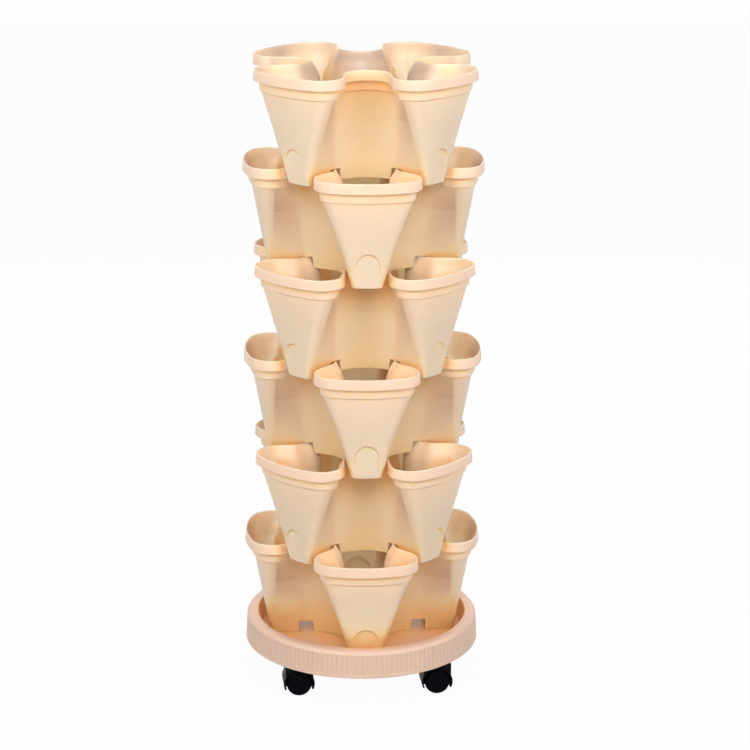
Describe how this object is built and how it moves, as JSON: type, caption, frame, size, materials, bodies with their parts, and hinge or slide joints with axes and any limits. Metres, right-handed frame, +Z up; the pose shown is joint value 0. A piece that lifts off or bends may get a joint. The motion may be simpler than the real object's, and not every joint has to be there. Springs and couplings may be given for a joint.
{
  "type": "vertical planter tower",
  "caption": "Free-standing tower of stacked four-lobed planter pots in cream plastic, on a round rolling tray with twin-wheel casters.",
  "frame": {"origin": "centre of the bounding box's underside, on the ground under the tower's axis", "axes": "+Z up along the tower's axis; -Y is the front, towards the viewer; +X is the viewer's right"},
  "size_m": [0.35, 0.35, 0.9315],
  "materials": {
    "pot_plastic": "satin",
    "tray_plastic": "satin",
    "hood_plastic": "satin",
    "wheel_plastic": "satin",
    "steel": "plated"
  },
  "bodies": {
    "base": {"tray": "tray_plastic", "caster_front_left_stem": "steel", "caster_front_right_stem": "steel", "caster_rear_left_stem": "steel", "caster_rear_right_stem": "steel"},
    "pot_1": {"pot_1": "pot_plastic"},
    "pot_2": {"pot_2": "pot_plastic"},
    "pot_3": {"pot_3": "pot_plastic"},
    "pot_4": {"pot_4": "pot_plastic"},
    "pot_5": {"pot_5": "pot_plastic"},
    "pot_6": {"pot_6": "pot_plastic"},
    "caster_front_left": {"caster_front_left_hood": "hood_plastic", "caster_front_left_axle": "steel"},
    "caster_front_right": {"caster_front_right_hood": "hood_plastic", "caster_front_right_axle": "steel"},
    "caster_rear_left": {"caster_rear_left_hood": "hood_plastic", "caster_rear_left_axle": "steel"},
    "caster_rear_right": {"caster_rear_right_hood": "hood_plastic", "caster_rear_right_axle": "steel"},
    "front_left_wheel_front": {"caster_front_left_wheel_front": "wheel_plastic"},
    "front_left_wheel_rear": {"caster_front_left_wheel_rear": "wheel_plastic"},
    "front_right_wheel_front": {"caster_front_right_wheel_front": "wheel_plastic"},
    "front_right_wheel_rear": {"caster_front_right_wheel_rear": "wheel_plastic"},
    "rear_left_wheel_front": {"caster_rear_left_wheel_front": "wheel_plastic"},
    "rear_left_wheel_rear": {"caster_rear_left_wheel_rear": "wheel_plastic"},
    "rear_right_wheel_front": {"caster_rear_right_wheel_front": "wheel_plastic"},
    "rear_right_wheel_rear": {"caster_rear_right_wheel_rear": "wheel_plastic"}
  },
  "joints": [
    {"name": "pot_1_lift", "type": "slide", "parent": "base", "child": "pot_1", "axis": [0, 0, 1], "range_m": [0, 0.08]},
    {"name": "pot_2_lift", "type": "slide", "parent": "pot_1", "child": "pot_2", "axis": [0, 0, 1], "range_m": [0, 0.08]},
    {"name": "pot_3_lift", "type": "slide", "parent": "pot_2", "child": "pot_3", "axis": [0, 0, 1], "range_m": [0, 0.08]},
    {"name": "pot_4_lift", "type": "slide", "parent": "pot_3", "child": "pot_4", "axis": [0, 0, 1], "range_m": [0, 0.08]},
    {"name": "pot_5_lift", "type": "slide", "parent": "pot_4", "child": "pot_5", "axis": [0, 0, 1], "range_m": [0, 0.08]},
    {"name": "pot_6_lift", "type": "slide", "parent": "pot_5", "child": "pot_6", "axis": [0, 0, 1], "range_m": [0, 0.08]},
    {"name": "front_left_swivel", "type": "hinge", "parent": "base", "child": "caster_front_left", "pos_m": [-0.10253, -0.10253, 0.047], "axis": [0, 0, 1], "continuous": true},
    {"name": "front_right_swivel", "type": "hinge", "parent": "base", "child": "caster_front_right", "pos_m": [0.10253, -0.10253, 0.047], "axis": [0, 0, 1], "continuous": true},
    {"name": "rear_left_swivel", "type": "hinge", "parent": "base", "child": "caster_rear_left", "pos_m": [-0.10253, 0.10253, 0.047], "axis": [0, 0, 1], "continuous": true},
    {"name": "rear_right_swivel", "type": "hinge", "parent": "base", "child": "caster_rear_right", "pos_m": [0.10253, 0.10253, 0.047], "axis": [0, 0, 1], "continuous": true},
    {"name": "front_left_front_spin", "type": "hinge", "parent": "caster_front_left", "child": "front_left_wheel_front", "pos_m": [-0.09854, -0.10229, 0.0185], "axis": [-0.061, 0.9981, 0], "continuous": true},
    {"name": "front_left_rear_spin", "type": "hinge", "parent": "caster_front_left", "child": "front_left_wheel_rear", "pos_m": [-0.09854, -0.10229, 0.0185], "axis": [-0.061, 0.9981, 0], "continuous": true},
    {"name": "front_right_front_spin", "type": "hinge", "parent": "caster_front_right", "child": "front_right_wheel_front", "pos_m": [0.10652, -0.10229, 0.0185], "axis": [-0.061, 0.9981, 0], "continuous": true},
    {"name": "front_right_rear_spin", "type": "hinge", "parent": "caster_front_right", "child": "front_right_wheel_rear", "pos_m": [0.10652, -0.10229, 0.0185], "axis": [-0.061, 0.9981, 0], "continuous": true},
    {"name": "rear_left_front_spin", "type": "hinge", "parent": "caster_rear_left", "child": "rear_left_wheel_front", "pos_m": [-0.09854, 0.10278, 0.0185], "axis": [-0.061, 0.9981, 0], "continuous": true},
    {"name": "rear_left_rear_spin", "type": "hinge", "parent": "caster_rear_left", "child": "rear_left_wheel_rear", "pos_m": [-0.09854, 0.10278, 0.0185], "axis": [-0.061, 0.9981, 0], "continuous": true},
    {"name": "rear_right_front_spin", "type": "hinge", "parent": "caster_rear_right", "child": "rear_right_wheel_front", "pos_m": [0.10652, 0.10278, 0.0185], "axis": [-0.061, 0.9981, 0], "continuous": true},
    {"name": "rear_right_rear_spin", "type": "hinge", "parent": "caster_rear_right", "child": "rear_right_wheel_rear", "pos_m": [0.10652, 0.10278, 0.0185], "axis": [-0.061, 0.9981, 0], "continuous": true}
  ]
}
